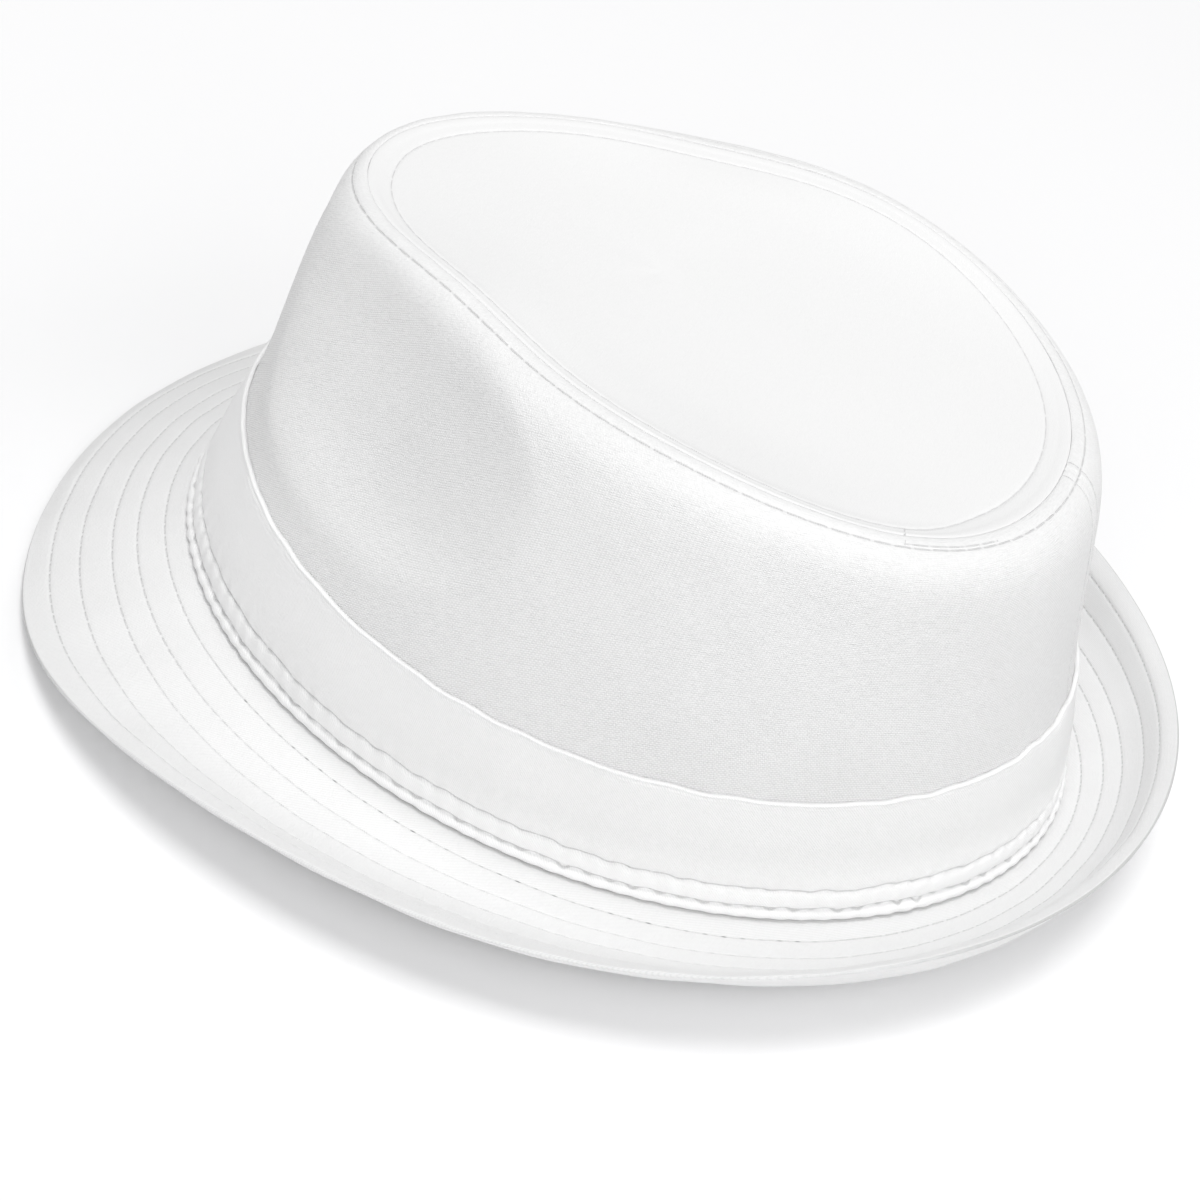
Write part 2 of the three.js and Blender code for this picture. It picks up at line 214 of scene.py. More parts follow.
def high_wall(bearing, share):
    """Outer face of the crown above the band, from the band's top edge (0) to the tip seam (1)."""
    start = low_wall(bearing, band_height(bearing), CROWN_CLOTH)
    end_x, end_y, seam_out = offset_curve(tip_outline, bearing, 0)
    end = np.stack((end_x, end_y, tip_height(bearing)), -1)
    low_out = offset_curve(head_oval, bearing, 0)[2]
    reach = (WALL_STIFFNESS * (end[..., 2] - start[..., 2]))[..., None]
    lean = np.radians(wall_lean(bearing))[..., None]
    first = start + reach * np.concatenate((-low_out * np.sin(lean), np.cos(lean)), -1)
    second = end.copy()
    second[..., :2] += seam_out * shoulder_out(bearing)[..., None]
    second[..., 2] -= SHOULDER_DROP
    t = share[..., None]
    point = (1 - t) ** 3 * start + 3 * (1 - t) ** 2 * t * first
    point = point + 3 * (1 - t) * t ** 2 * second + t ** 3 * end
    out = unit((1 - t) * low_out + t * seam_out)
    point[..., :2] -= out * shaped_inward(bearing, point[..., 2])[..., None]
    return point


def face_normal(face, bearing, share):
    """Direction out of the cloth on a face given as face(bearing, share)."""
    along = face(bearing + SMALL_STEP, share) - face(bearing - SMALL_STEP, share)
    above = face(bearing, np.minimum(share + SMALL_STEP, 1))
    below = face(bearing, np.maximum(share - SMALL_STEP, 0))
    return unit(np.cross(along, above - below))


def lie_down(points):
    """Millimetres over the middle of the head opening to metres where the hat lies."""
    x, y, z = points[..., 0], points[..., 1], points[..., 2]
    back = y * math.cos(REST_PITCH) + z * math.sin(REST_PITCH) + REST_BACKWARD
    up = z * math.cos(REST_PITCH) - y * math.sin(REST_PITCH) + REST_RISE
    return np.stack((x, back, up), -1) * MM


def run_length(points):
    """Distance along lines of points from their first ones."""
    steps = np.linalg.norm(np.diff(points, axis=0), axis=-1)
    return np.concatenate((np.zeros((1,) + steps.shape[1:]), np.cumsum(steps, axis=0)))


WAVES_IN_RIPPLE = 14


def ripple(seed, bearing, height, size, fewest, most, across=40):
    """Soft uneven waves of cloth, closed round the hat, that slant over the height across."""
    draw = np.random.default_rng(seed)
    total = np.zeros(np.broadcast(bearing, height).shape)
    for _ in range(WAVES_IN_RIPPLE):
        turns = draw.integers(fewest, most + 1)
        slant = draw.normal(0, 1) / across
        total += np.sin(turns * bearing + slant * height + draw.uniform(0, 2 * math.pi))
    return size * total / math.sqrt(WAVES_IN_RIPPLE / 2)


def corners(grid):
    """A value at each corner of each face, from values on the lines of a grid."""
    return np.stack((grid[:-1, :-1], grid[:-1, 1:], grid[1:, 1:], grid[1:, :-1]), 2)


MIDDLE_OF_STITCH = 0.5
FAR_FROM_STITCHES = 9.0


def nearest_row(rows, before=0, after=0):
    """Stitch coordinates at each face corner: stitches along the nearest row, and distance from it.

    The piece's grid has so many more rows of points, before and after, that lie far from stitches.
    """
    more = ((before, after), (0, 0))
    choices = []
    for phase, gap in rows:
        phase = np.pad(np.broadcast_to(phase, gap.shape), more, constant_values=MIDDLE_OF_STITCH)
        gap = np.pad(gap, more, constant_values=FAR_FROM_STITCHES)
        choices.append(corners(np.stack((phase, gap), -1)))
    choices = np.stack(choices)
    nearest = np.abs(choices[..., 1].mean(3)).argmin(0)
    return np.take_along_axis(choices, nearest[None, :, :, None, None], 0)[0]


def cloth_mesh(name, vertices, faces, maps):
    """A smooth piece that rides with the hat, with maps of places on its cloth for its finish."""
    vertices[:, 2] = np.maximum(vertices[:, 2], 0)
    mesh = bpy.data.meshes.new(name)
    mesh.from_pydata(vertices.tolist(), [], faces)
    mesh.shade_smooth()
    for title, values in maps.items():
        layer = mesh.uv_layers.new(name=title)
        flat = np.full((len(mesh.loops), 2), FAR_FROM_STITCHES)
        used = values.reshape(-1, 2)
        flat[:len(used)] = used
        layer.data.foreach_set("uv", flat.ravel())
    piece = bpy.data.objects.new(name, mesh)
    bpy.context.scene.collection.objects.link(piece)
    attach(piece, "root")
    return piece


def sewn_piece(name, points, cloth_map, stitch_map, middles=()):
    """A closed piece from a grid of points, rows round its section and columns round the hat."""
    rows, columns = points.shape[:2]
    vertices = lie_down(points).reshape(-1, 3)
    row, column = np.meshgrid(np.arange(rows), np.arange(columns), indexing="ij")
    if middles:
        row, column = row[:-1], column[:-1]
    here, above = row * columns, (row + 1) % rows * columns
    beside = (column + 1) % columns
    quads = np.stack((here + column, here + beside, above + beside, above + column), -1)
    faces = quads.reshape(-1, 4).tolist()
    for at, middle in zip((0, rows - 1), middles):
        vertices = np.vstack((vertices, lie_down(middle)))
        ring = (at * columns + np.arange(columns)).tolist()
        for first, second in zip(ring, ring[1:] + ring[:1]):
            ends = (second, first) if at == 0 else (first, second)
            faces.append((*ends, len(vertices) - 1))
    return cloth_mesh(name, vertices, faces, {"Cloth": cloth_map, "Stitch": stitch_map})


# Places along one stitch, how far its thread lies above the cloth there, and how thick it is there
STITCH_PLACES = np.array([0.09, 0.17, 0.33, 0.5, 0.67, 0.83, 0.91])
STITCH_LIFT = np.array([-0.3, -0.12, -0.03, 0.0, -0.03, -0.12, -0.3])
STITCH_GIRTH = np.array([0.6, 0.9, 1, 1, 1, 0.9, 0.6])
STITCH_SLANT = 0.26
THREAD_RADIUS = 0.13
THREAD_SIDES = 6


def thread_stitches(name, rows):
    """Stitches from needle hole to needle hole along rows: points in the cloth, outward ways, count."""
    strands, lengths = [], []
    for points, out, count in rows:
        length = run_length(points)
        marks = (np.arange(count)[:, None] + STITCH_PLACES) * length[-1] / count
        middle = np.stack([np.interp(marks, length, points[:, axis]) for axis in range(3)], -1)
        lift = np.stack([np.interp(marks, length, out[:, axis]) for axis in range(3)], -1)
        along = unit(middle[:, -1:] - middle[:, :1])
        side = unit(np.cross(along, lift))
        lift = np.cross(side, along)
        slant = STITCH_SLANT * (STITCH_PLACES[:, None] - 0.5)
        middle = middle + lift * STITCH_LIFT[:, None] + side * slant
        angle = 2 * math.pi * np.arange(THREAD_SIDES) / THREAD_SIDES
        ring = side[..., None, :] * np.cos(angle)[:, None] + lift[..., None, :] * np.sin(angle)[:, None]
        strands.append(middle[..., None, :] + THREAD_RADIUS * STITCH_GIRTH[:, None, None] * ring)
        lengths.append(marks)
    strands, marks = np.concatenate(strands), np.concatenate(lengths)
    count, places, sides = strands.shape[:3]
    stitch, place, side = np.meshgrid(
        np.arange(count), np.arange(places - 1), np.arange(sides), indexing="ij")
    here = (stitch * places + place) * sides
    beside = (side + 1) % sides
    quads = np.stack((here + side, here + sides + side, here + sides + beside, here + beside), -1)
    first_ring = np.arange(count)[:, None] * places * sides + np.arange(sides)
    last_ring = first_ring[:, ::-1] + (places - 1) * sides
    faces = quads.reshape(-1, 4).tolist() + first_ring.tolist() + last_ring.tolist()
    near, far = marks[stitch, place], marks[stitch, place + 1]
    turn = THREAD_RADIUS * 2 * math.pi / sides
    cloth_map = np.stack((
        np.stack((near, far, far, near), -1),
        np.stack((side, side, side + 1, side + 1), -1) * turn), -1)
    vertices = lie_down(strands).reshape(-1, 3)
    return cloth_mesh(name, vertices, faces, {"Cloth": cloth_map})


# Rows of points round the hat, and up the wall: a few behind the band, then closer near the tip seam
CROWN_TURNS = 640
BEHIND_BAND = [SEWN_GAP, 10, 20, 27]
OPEN_WALL = np.concatenate((np.linspace(0, 0.86, 44), np.linspace(0.865, 1, 34)))
LINING_WALL = np.linspace(0.97, 0, 14)

# The strip is cut as part of a ring, this wide at its tip seam, that turns by this share of the hat's turn.
# Its grain is level at the wearer's left end of the back seam
SEAM_RADIUS = 540
CUT_TURN = 0.16

# The row of stitches below the tip seam, and the closing seam at the back with a row on each side
OUTER_ROW_BELOW_SEAM = 3.4
BACK_ROW_BESIDE_SEAM = 3.1
NEAR_BACK = 0.12
SIDE_STITCH = 4.6
BACK_STITCH = 3.0
# The sewing of the outer row runs over its own start, a little nearer the seam, between these bearings
OVERSEWN = {"start": 140.6, "end": 156}
OVERSEWN_BELOW_SEAM = 2.65

# Height of the cloth's swells, and depth of its grooves along seams and rows of stitches
ROW_DEPTH = 0.17
ROW_REACH = 0.45
SHOULDER_SWELL = 0.15
SIDE_SEAM_DEPTH = 0.15
BACK_SWELL = 0.2
BACK_SEAM_DEPTH = 0.45
NOT_AT_BACK = 99

crown_bearing = np.linspace(-math.pi, math.pi, CROWN_TURNS + 1)
crown_degrees = np.degrees(crown_bearing)
turn_grid, wall_grid = np.meshgrid(crown_bearing, OPEN_WALL)
side_face = high_wall(turn_grid, wall_grid)
side_out = face_normal(high_wall, turn_grid, wall_grid)
up_the_wall = run_length(side_face)
below_seam = up_the_wall[-1] - up_the_wall
beside_back = np.where(np.cos(turn_grid) < 0, side_face[..., 0], NOT_AT_BACK)

side_detail = (
    ripple(11, turn_grid, up_the_wall, size=0.07, fewest=2, most=9)
    + ripple(12, turn_grid, up_the_wall, size=0.03, fewest=12, most=40, across=9)
    + SHOULDER_SWELL * hump(below_seam - OUTER_ROW_BELOW_SEAM / 2, reach=1.4)
    - ROW_DEPTH * hump(below_seam - OUTER_ROW_BELOW_SEAM, ROW_REACH)
    - SIDE_SEAM_DEPTH * hump(below_seam, reach=0.35)
    + BACK_SWELL * hump(beside_back, reach=2.6)
    - ROW_DEPTH * hump(np.abs(beside_back) - BACK_ROW_BESIDE_SEAM, ROW_REACH)
    - BACK_SEAM_DEPTH * hump(beside_back, reach=0.4))
side_detail *= eased(up_the_wall, start=0, end=3)
side_skin = side_face + side_out * side_detail[..., None]

low_turns, low_heights = np.meshgrid(crown_bearing, BEHIND_BAND)
behind_band = low_wall(low_turns, low_heights, CROWN_CLOTH)
lining_turns, lining_shares = np.meshgrid(crown_bearing, LINING_WALL)
lining = high_wall(lining_turns, lining_shares)
lining -= CROWN_CLOTH * face_normal(high_wall, lining_turns, lining_shares)
low_lining = low_wall(low_turns, low_heights, 0)[::-1]
side_grid = np.concatenate((behind_band, side_skin, lining, low_lining))

section_length = run_length(side_grid)
cut_radius = SEAM_RADIUS + section_length[len(BEHIND_BAND) + len(OPEN_WALL) - 1] - section_length
cut_angle = CUT_TURN * (crown_bearing - math.pi)
side_cloth = np.stack((cut_radius * np.sin(cut_angle), -cut_radius * np.cos(cut_angle)), -1)
side_cloth = np.concatenate((side_cloth, side_cloth[-1:] + (0, CROWN_CLOTH)))


def line_across(falling, grid, wanted):
    """The line across a grid's columns where a measure that falls down each column passes a value."""
    line = []
    for measure, column in zip(falling.T, grid.transpose(1, 0, 2)):
        line.append([np.interp(wanted, measure[::-1], column[::-1, axis]) for axis in range(3)])
    return np.array(line)


outer_row = line_across(below_seam, side_skin, OUTER_ROW_BELOW_SEAM)
outer_row_out = line_across(below_seam, side_out, OUTER_ROW_BELOW_SEAM)
outer_length = run_length(outer_row)
outer_stitches = round(outer_length[-1] / SIDE_STITCH)
oversewn = (crown_degrees >= OVERSEWN["start"]) & (crown_degrees <= OVERSEWN["end"])
oversewn_row = line_across(below_seam, side_skin, OVERSEWN_BELOW_SEAM)[oversewn]
back_lines = []
for near_back, beside in (
        (crown_bearing > math.pi - NEAR_BACK, BACK_ROW_BESIDE_SEAM),
        (crown_bearing < NEAR_BACK - math.pi, -BACK_ROW_BESIDE_SEAM)):
    falling = side_face[:, near_back, 0].T
    grids = [grid[:, near_back].transpose(1, 0, 2) for grid in (side_skin, side_out)]
    back_lines.append([line_across(falling, grid, beside) for grid in grids])
back_stitches = round(run_length(back_lines[0][0])[-1] / BACK_STITCH)

outer_phase = outer_length / outer_length[-1] * outer_stitches
back_phase = up_the_wall / up_the_wall[-1] * back_stitches
over_start = np.where(oversewn, below_seam - OVERSEWN_BELOW_SEAM, FAR_FROM_STITCHES)
side_rows = [
    (outer_phase, below_seam - OUTER_ROW_BELOW_SEAM),
    (outer_phase, over_start),
    (back_phase, beside_back - BACK_ROW_BESIDE_SEAM),
    (back_phase, beside_back + BACK_ROW_BESIDE_SEAM),
]
crown_side = sewn_piece(
    "crown_side_panel", side_grid[:, :-1], corners(side_cloth),
    nearest_row(side_rows, before=len(BEHIND_BAND), after=len(lining) + len(low_lining) + 1))
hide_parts("crown_side")

side_thread = thread_stitches("crown_side_stitches", [
    (outer_row, outer_row_out, outer_stitches),
    (oversewn_row, outer_row_out[oversewn], round(run_length(oversewn_row)[-1] / SIDE_STITCH)),
    (*back_lines[0], back_stitches),
    (*back_lines[1], back_stitches),
])


class Strand:
    """A shader socket that works in Python sums, each sign adding one Math node."""

    def __init__(self, finish, socket):
        self.finish = finish
        self.socket = socket

    def math(self, operation, first, second=0.0):
        """One Math node on two values."""
        return self.finish.node("Math", {"operation": operation}, {0: first, 1: second})

    def __add__(self, other):
        return self.math("ADD", self, other)

    def __radd__(self, other):
        return self.math("ADD", other, self)

    def __sub__(self, other):
        return self.math("SUBTRACT", self, other)

    def __rsub__(self, other):
        return self.math("SUBTRACT", other, self)

    def __mul__(self, other):
        return self.math("MULTIPLY", self, other)

    def __rmul__(self, other):
        return self.math("MULTIPLY", other, self)

    def __truediv__(self, other):
        return self.math("DIVIDE", self, other)

    def __rtruediv__(self, other):
        return self.math("DIVIDE", other, self)

    def __pow__(self, other):
        return self.math("POWER", self, other)

    def __rpow__(self, other):
        return self.math("POWER", other, self)

    def __abs__(self):
        return self.math("ABSOLUTE", self)


class Finish:
    """A material in the making, with the one way to add a node to it."""

    def __init__(self, name):
        self.material = bpy.data.materials.new(name)
        self.material.use_nodes = True
        self.tree = self.material.node_tree
        self.tree.nodes.clear()

    def node(self, kind, settings, values, output=0):
        """A node of a kind: its settings first, then the values or links of its sockets."""
        made = self.tree.nodes.new("ShaderNode" + kind)
        for setting, value in settings.items():
            setattr(made, setting, value)
        for key, value in values.items():
            if isinstance(value, Strand):
                self.tree.links.new(value.socket, made.inputs[key])
            else:
                made.inputs[key].default_value = value
        return Strand(self, made.outputs[output]) if made.outputs else None

    def places(self, title):
        """A map of places on the cloth, and its two measures."""
        place = self.node("UVMap", {"uv_map": title}, {})
        return place, *(self.node("SeparateXYZ", {}, {0: place}, axis) for axis in (0, 1))

    def swing(self, place, pitch):
        """From -1 to 1 and back, passing 0 once in each pitch."""
        return self.node("Math", {"operation": "SINE"}, {0: place * (math.pi / pitch)})

    def wave(self, place, pitch):
        """Rounded ridges of one pitch, from 0 between them to 1 on their crests."""
        return abs(self.swing(place, pitch))

    def eased(self, value, start, end):
        """From 0 at the start to 1 at the end, with soft ends."""
        settings = {"interpolation_type": "SMOOTHSTEP"}
        return self.node("MapRange", settings, {"Value": value, "From Min": start, "From Max": end})

    def blend(self, share, first, second):
        """From the first colour at 0 to the second at 1."""
        return self.node("Mix", {"data_type": "RGBA"}, {0: share, 6: first, 7: second}, 2)

    def finished(self, look):
        """The material, with a principled shader of this look."""
        self.node("OutputMaterial", {}, {"Surface": self.node("BsdfPrincipled", {}, look)})
        return self.material


# Painted shade: the grey painted along the channels of rows of stitches, and the dark painted in needle
# holes
CHANNEL_SHADE_GREY = (0.5, 0.5, 0.5, 1)
NEEDLE_HOLE_SHADE = (0.2, 0.2, 0.2, 1)
# Thick places of the weft and the warp, for each mm along and up the cloth, and slower clouds in it
WEFT_SLUBS = (0.5, 3.0, 0)
WARP_SLUBS = (3.2, 0.6, 0)
WEFT_SHARE = 0.6
CLOUDS = 0.035
TONE_SHARES = {"slubs": 0.4, "threads": 0.5, "clouds": 0.1}
# A needle hole is longer along its row than across, and each is pulled open by another amount
HOLE_NARROWS = 0.32
LEAST_PULL = 0.3
CLOTH_RELIEF = {"threads": 0.7, "slubs": 2.4, "channel": 1.2, "holes": 2.0}
CLOTH_BUMP = 0.16 * MM


def white_cotton(name, weave, stitch, stitch_shade, dark, bright, relief):
    """White cotton between two greys: its threads in relief and in painted shade, and the channels and
    needle holes of its rows in relief and in painted shade.
    """
    finish = Finish(name)
    cloth, along, up = finish.places("Cloth")
    threads = weave(finish, along, up)

    slubs = []
    for stretch in (WEFT_SLUBS, WARP_SLUBS):
        place = finish.node("VectorMath", {"operation": "MULTIPLY"}, {0: cloth, 1: stretch})
        slubs.append(finish.node("TexNoise", {}, {"Vector": place, "Scale": 1.0, "Detail": 2.0}))
    slubs = WEFT_SHARE * slubs[0] + (1 - WEFT_SHARE) * slubs[1]
    clouds = finish.node("TexNoise", {}, {"Vector": cloth, "Scale": CLOUDS, "Detail": 3.0})

    hole_shade, channel_shade = stitch_shade(finish, along, up) if callable(stitch_shade) else stitch_shade
    _, phase, beside = finish.places("Stitch")
    beside = abs(beside)
    to_hole = abs(finish.node("Math", {"operation": "FRACT"}, {0: phase + 0.5}) - 0.5) * stitch
    stitch_end = finish.node("Math", {"operation": "FLOOR"}, {0: phase + 0.5})
    pulled = finish.node("TexWhiteNoise", {"noise_dimensions": "1D"}, {"W": stitch_end}, 0)
    reach = ((to_hole * HOLE_NARROWS) ** 2 + beside * beside) ** 0.5
    pulled = LEAST_PULL + (1 - LEAST_PULL) * pulled
    holes = (1 - finish.eased(reach, start=0.05, end=0.3)) * pulled * hole_shade
    channel = (1 - finish.eased(beside, start=0.05, end=0.27)) * finish.eased(to_hole, start=0.25, end=0.65)

    # The woven threads' share of the grey is painted shade between the threads; the slubs and clouds are the
    # cloth's own uneven tone
    tone = TONE_SHARES["slubs"] * slubs + TONE_SHARES["threads"] * threads + TONE_SHARES["clouds"] * clouds
    tone = finish.eased(tone, start=0.25, end=0.75)
    plain = finish.blend(tone, (dark, dark, dark, 1), (bright, bright, bright, 1))
    # Painted shade: the channels are painted grey and the needle holes dark, at the strengths given for each
    # piece's stitches
    sewn = finish.blend(channel_shade * channel, plain, CHANNEL_SHADE_GREY)
    color = finish.blend(holes, sewn, NEEDLE_HOLE_SHADE)
    height = CLOTH_RELIEF["threads"] * threads + CLOTH_RELIEF["slubs"] * slubs
    height = height - CLOTH_RELIEF["channel"] * channel - CLOTH_RELIEF["holes"] * holes
    normal = finish.node("Bump", {}, {"Strength": relief, "Distance": CLOTH_BUMP, "Height": height})
    return finish.finished({
        "Base Color": color, "Roughness": 0.93, "Specular IOR Level": 0.2,
        "Sheen Weight": 0.12, "Sheen Roughness": 0.5, "Normal": normal})


POPLIN_RIB = 0.46
POPLIN_THREAD = 0.4
POPLIN_SHARES = {"ribs": 0.45, "crossing": 0.15, "over_and_under": 0.4}


def poplin(finish, along, up):
    """Plain weave: ribs of weft, crossed by the warp that dips under every other one, from 0 to 1."""
    weft = finish.swing(up, POPLIN_RIB)
    warp = finish.swing(along, POPLIN_THREAD)
    threads = POPLIN_SHARES["ribs"] * abs(weft) + POPLIN_SHARES["crossing"] * abs(warp)
    return threads + POPLIN_SHARES["over_and_under"] * (0.5 + 0.5 * weft * warp)


THREAD_PLY = 0.5
PLY_SLANT = 0.6
PLY_BUMP = 0.08 * MM
# The thread is painted greyer than the cloth, partly its own grey and partly painted shade of the channel it
# lies in; the darker grey between its plies is painted shade of the twist
THREAD_WHITE = (0.8, 0.8, 0.8, 1)
PLY_GAP_SHADE = (0.62, 0.62, 0.62, 1)


def sewing_thread(name):
    """Twisted white sewing thread: slanted plies round each stitch, with painted shade between the plies."""
    finish = Finish(name)
    _, along, around = finish.places("Cloth")
    plies = finish.wave(along + PLY_SLANT * around, THREAD_PLY)
    color = finish.blend(plies, PLY_GAP_SHADE, THREAD_WHITE)
    normal = finish.node("Bump", {}, {"Strength": 0.7, "Distance": PLY_BUMP, "Height": plies})
    return finish.finished({
        "Base Color": color, "Roughness": 0.75, "Specular IOR Level": 0.3,
        "Sheen Weight": 0.1, "Sheen Roughness": 0.4, "Normal": normal})


# Near the tip seam the weave is this even height, in relief and in colour; as colour it lies above the
# weave's mean, so the shoulder is painted lighter: painted light
SMOOTH_LIGHT_WEAVE = 0.72
# How strongly the needle holes and the channels of the crown's rows are painted with shade
FAINT_STITCH_SHADE = (0.2, 0.4)


def shoulder_poplin_painted_lighter(finish, along, up):
    """The plain weave of the side panel, pulled smooth in relief over the shoulder below the tip seam, and
    painted lighter and even there: painted light on the up-facing shoulder.
    """
    below_seam = (along * along + up * up) ** 0.5 - SEAM_RADIUS
    woven = finish.eased(below_seam, start=1, end=17)
    return SMOOTH_LIGHT_WEAVE + woven * (poplin(finish, along, up) - SMOOTH_LIGHT_WEAVE)


crown_side.data.materials.append(white_cotton(
    "side_poplin", shoulder_poplin_painted_lighter, SIDE_STITCH, FAINT_STITCH_SHADE, dark=0.71, bright=0.93, relief=0.8))
white_thread = sewing_thread("white_sewing_thread")
side_thread.data.materials.append(white_thread)

# Crown tip
# The egg-shaped top panel of the same poplin. Its seam allowance is pressed inward and topstitched, which
# makes the low ridge over the seam and lets the field inside it sink a little.

RIDGE_WIDTH = 5.5
# At the wearer's left the row of stitches comes nearer the seam by this much, between these bearings
ROW_NEARS_SEAM = {"by": 2.6, "start": 5, "full": 50, "until": 142, "end": 160}
RIDGE_RISE = 0.12
FIELD_SINK = 0.9
FIELD_SINK_BACK = 0.5
# Half of the sink is reached at the row of stitches, and all of it this far inward
SINK_UNDER_RIDGE = 0.5
SINK_REACH = 30
TIP_SEAM_DEPTH = 0.12
# The hidden underside is a copy of each so many rows of the top
UNDERSIDE_STEP = 4
TIP_STITCH = 4.9
RIDGE_SHARES = np.linspace(0.01, 1, 27)
FIELD_ROWS = np.concatenate(([0.996, 0.992, 0.988, 0.983, 0.976, 0.966], np.linspace(0.95, 0.05, 20)))


def field_sink(bearing, inside=1):
    """How far the field of the tip lies below the stretched sheet of the seam."""
    return FIELD_SINK + FIELD_SINK_BACK * (1 - inside * np.cos(bearing)) / 2


def sunk_share(inward):
    """How much of its sink the tip has reached at a distance inward from the seam."""
    under_ridge = SINK_UNDER_RIDGE * np.minimum(inward / RIDGE_WIDTH, 1)
    return under_ridge + (1 - SINK_UNDER_RIDGE) * eased(inward, 0, SINK_REACH)


def row_inward(bearing):
    """How far inward from the seam the row of stitches of the tip runs."""
    left = np.where(np.sin(bearing) > 0, turn_from_front(bearing), 0)
    nearing = eased(left, ROW_NEARS_SEAM["start"], ROW_NEARS_SEAM["full"])
    nearing *= 1 - eased(left, ROW_NEARS_SEAM["until"], ROW_NEARS_SEAM["end"])
    return RIDGE_WIDTH - ROW_NEARS_SEAM["by"] * nearing


def tip_field(bearing, inside):
    """Top of the field of the tip panel, at shares from its middle to its edge."""
    edge_x, edge_y, _ = offset_curve(tip_outline, bearing, -row_inward(bearing))
    inward = row_inward(bearing) + (1 - inside) * tip_reach(bearing)
    height = tip_height(bearing, inside) - field_sink(bearing, inside) * sunk_share(inward)
    return np.stack((edge_x * inside, TIP_MIDDLE_Y + (edge_y - TIP_MIDDLE_Y) * inside, height), -1)


def tip_ridge(bearing, inward):
    """Top of the ridge over the seam allowance, by the distance inward from the seam."""
    x, y, _ = offset_curve(tip_outline, bearing, -inward)
    crest = RIDGE_RISE * np.sin(math.pi * np.minimum(2 * inward / row_inward(bearing), 1))
    return np.stack((x, y, tip_height(bearing) + crest - field_sink(bearing) * sunk_share(inward)), -1)


ridge_turns, ridge_shares = np.meshgrid(crown_bearing, RIDGE_SHARES)
ridge_inward = ridge_shares * row_inward(ridge_turns)
ridge = tip_ridge(ridge_turns, ridge_inward)
field_turns, field_shares = np.meshgrid(crown_bearing, FIELD_ROWS)
field = tip_field(field_turns, field_shares)
field_inward = row_inward(field_turns) + (1 - field_shares) * tip_reach(field_turns)
tip_top = np.concatenate((ridge, field))
tip_inward = np.concatenate((ridge_inward, field_inward))
tip_turns = np.concatenate((ridge_turns, field_turns))
beside_row = tip_inward - row_inward(tip_turns)
# The waves come in inside the row of stitches, and die out towards the middle of the tip
in_field = eased(tip_inward, RIDGE_WIDTH, end=15) * eased(tip_inward, start=98, end=28)
tip_top[..., 2] += (
    ripple(21, tip_turns, tip_inward, size=0.06, fewest=2, most=6) * in_field
    - ROW_DEPTH * hump(beside_row, ROW_REACH)
    - TIP_SEAM_DEPTH * hump(tip_inward, reach=0.35))
tip_under = np.concatenate((ridge[::UNDERSIDE_STEP], field[::UNDERSIDE_STEP]))[::-1].copy()
tip_under[..., 2] -= CROWN_CLOTH
tip_grid = np.concatenate((tip_under, tip_top))
tip_middle = tip_field(np.array([0.0]), np.array([0.0]))[0]
inner_row = tip_top[len(RIDGE_SHARES) - 1]
inner_length = run_length(inner_row)
inner_stitches = round(inner_length[-1] / TIP_STITCH)
tip_rows = [(inner_length / inner_length[-1] * inner_stitches, beside_row)]
crown_tip = sewn_piece(
    "crown_tip_panel", tip_grid[:, :-1], corners(tip_grid[..., :2]),
    nearest_row(tip_rows, before=len(tip_under)),
    middles=(tip_middle - (0, 0, CROWN_CLOTH), tip_middle))
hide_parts("crown_tip")
# The tip's two greys lie close together, so the up-facing top shows almost no weave in its colour: painted
# light, evenly bright
crown_tip.data.materials.append(
    white_cotton("tip_poplin", poplin, TIP_STITCH, FAINT_STITCH_SHADE, dark=0.87, bright=0.885, relief=0.25))

# Where the sewing of the outer row starts, it comes over the seam from the inner row, a little behind it
CROSSING = {"inner_row": 142.8, "seam": 141.7, "outer_row": 140.6}
CROSSING_STITCHES = 3
RIDGE_POINTS = 12
SIDE_POINTS = 8
over_ridge = tip_ridge(
    np.radians(np.linspace(CROSSING["inner_row"], CROSSING["seam"], RIDGE_POINTS)),
    np.linspace(row_inward(math.radians(CROSSING["inner_row"])), 0, RIDGE_POINTS))
outer_column = int(np.argmin(np.abs(crown_degrees - CROSSING["outer_row"])))
outer_share = np.interp(-OUTER_ROW_BELOW_SEAM, -below_seam[:, outer_column], OPEN_WALL)
down_side = high_wall(
    np.radians(np.linspace(CROSSING["seam"], CROSSING["outer_row"], SIDE_POINTS)),
    np.linspace(1, outer_share, SIDE_POINTS))
crossing_row = np.concatenate((over_ridge, down_side[1:]))
straight_up = np.tile((0.0, 0.0, 1.0), (CROWN_TURNS + 1, 1))
crossing_row[:, 2] += THREAD_RADIUS
tip_thread = thread_stitches("crown_tip_stitches", [
    (inner_row, straight_up, inner_stitches),
    (crossing_row, straight_up[:len(crossing_row)], CROSSING_STITCHES),
])
tip_thread.data.materials.append(white_thread)

# Brim
# Two layers of the cotton over a stiff core, turned at the edge and sewn through in five rings. It is
# snapped down in front, curls up at the sides and stands up steeply at the back.

BAND_CLOTH = 1.3
BRIM_CLOTH = 2.2
FOOT_ROLL_STANDS_OUT = 0.75
BRIM_FOOT = CROWN_CLOTH + SEWN_GAP + BAND_CLOTH + FOOT_ROLL_STANDS_OUT

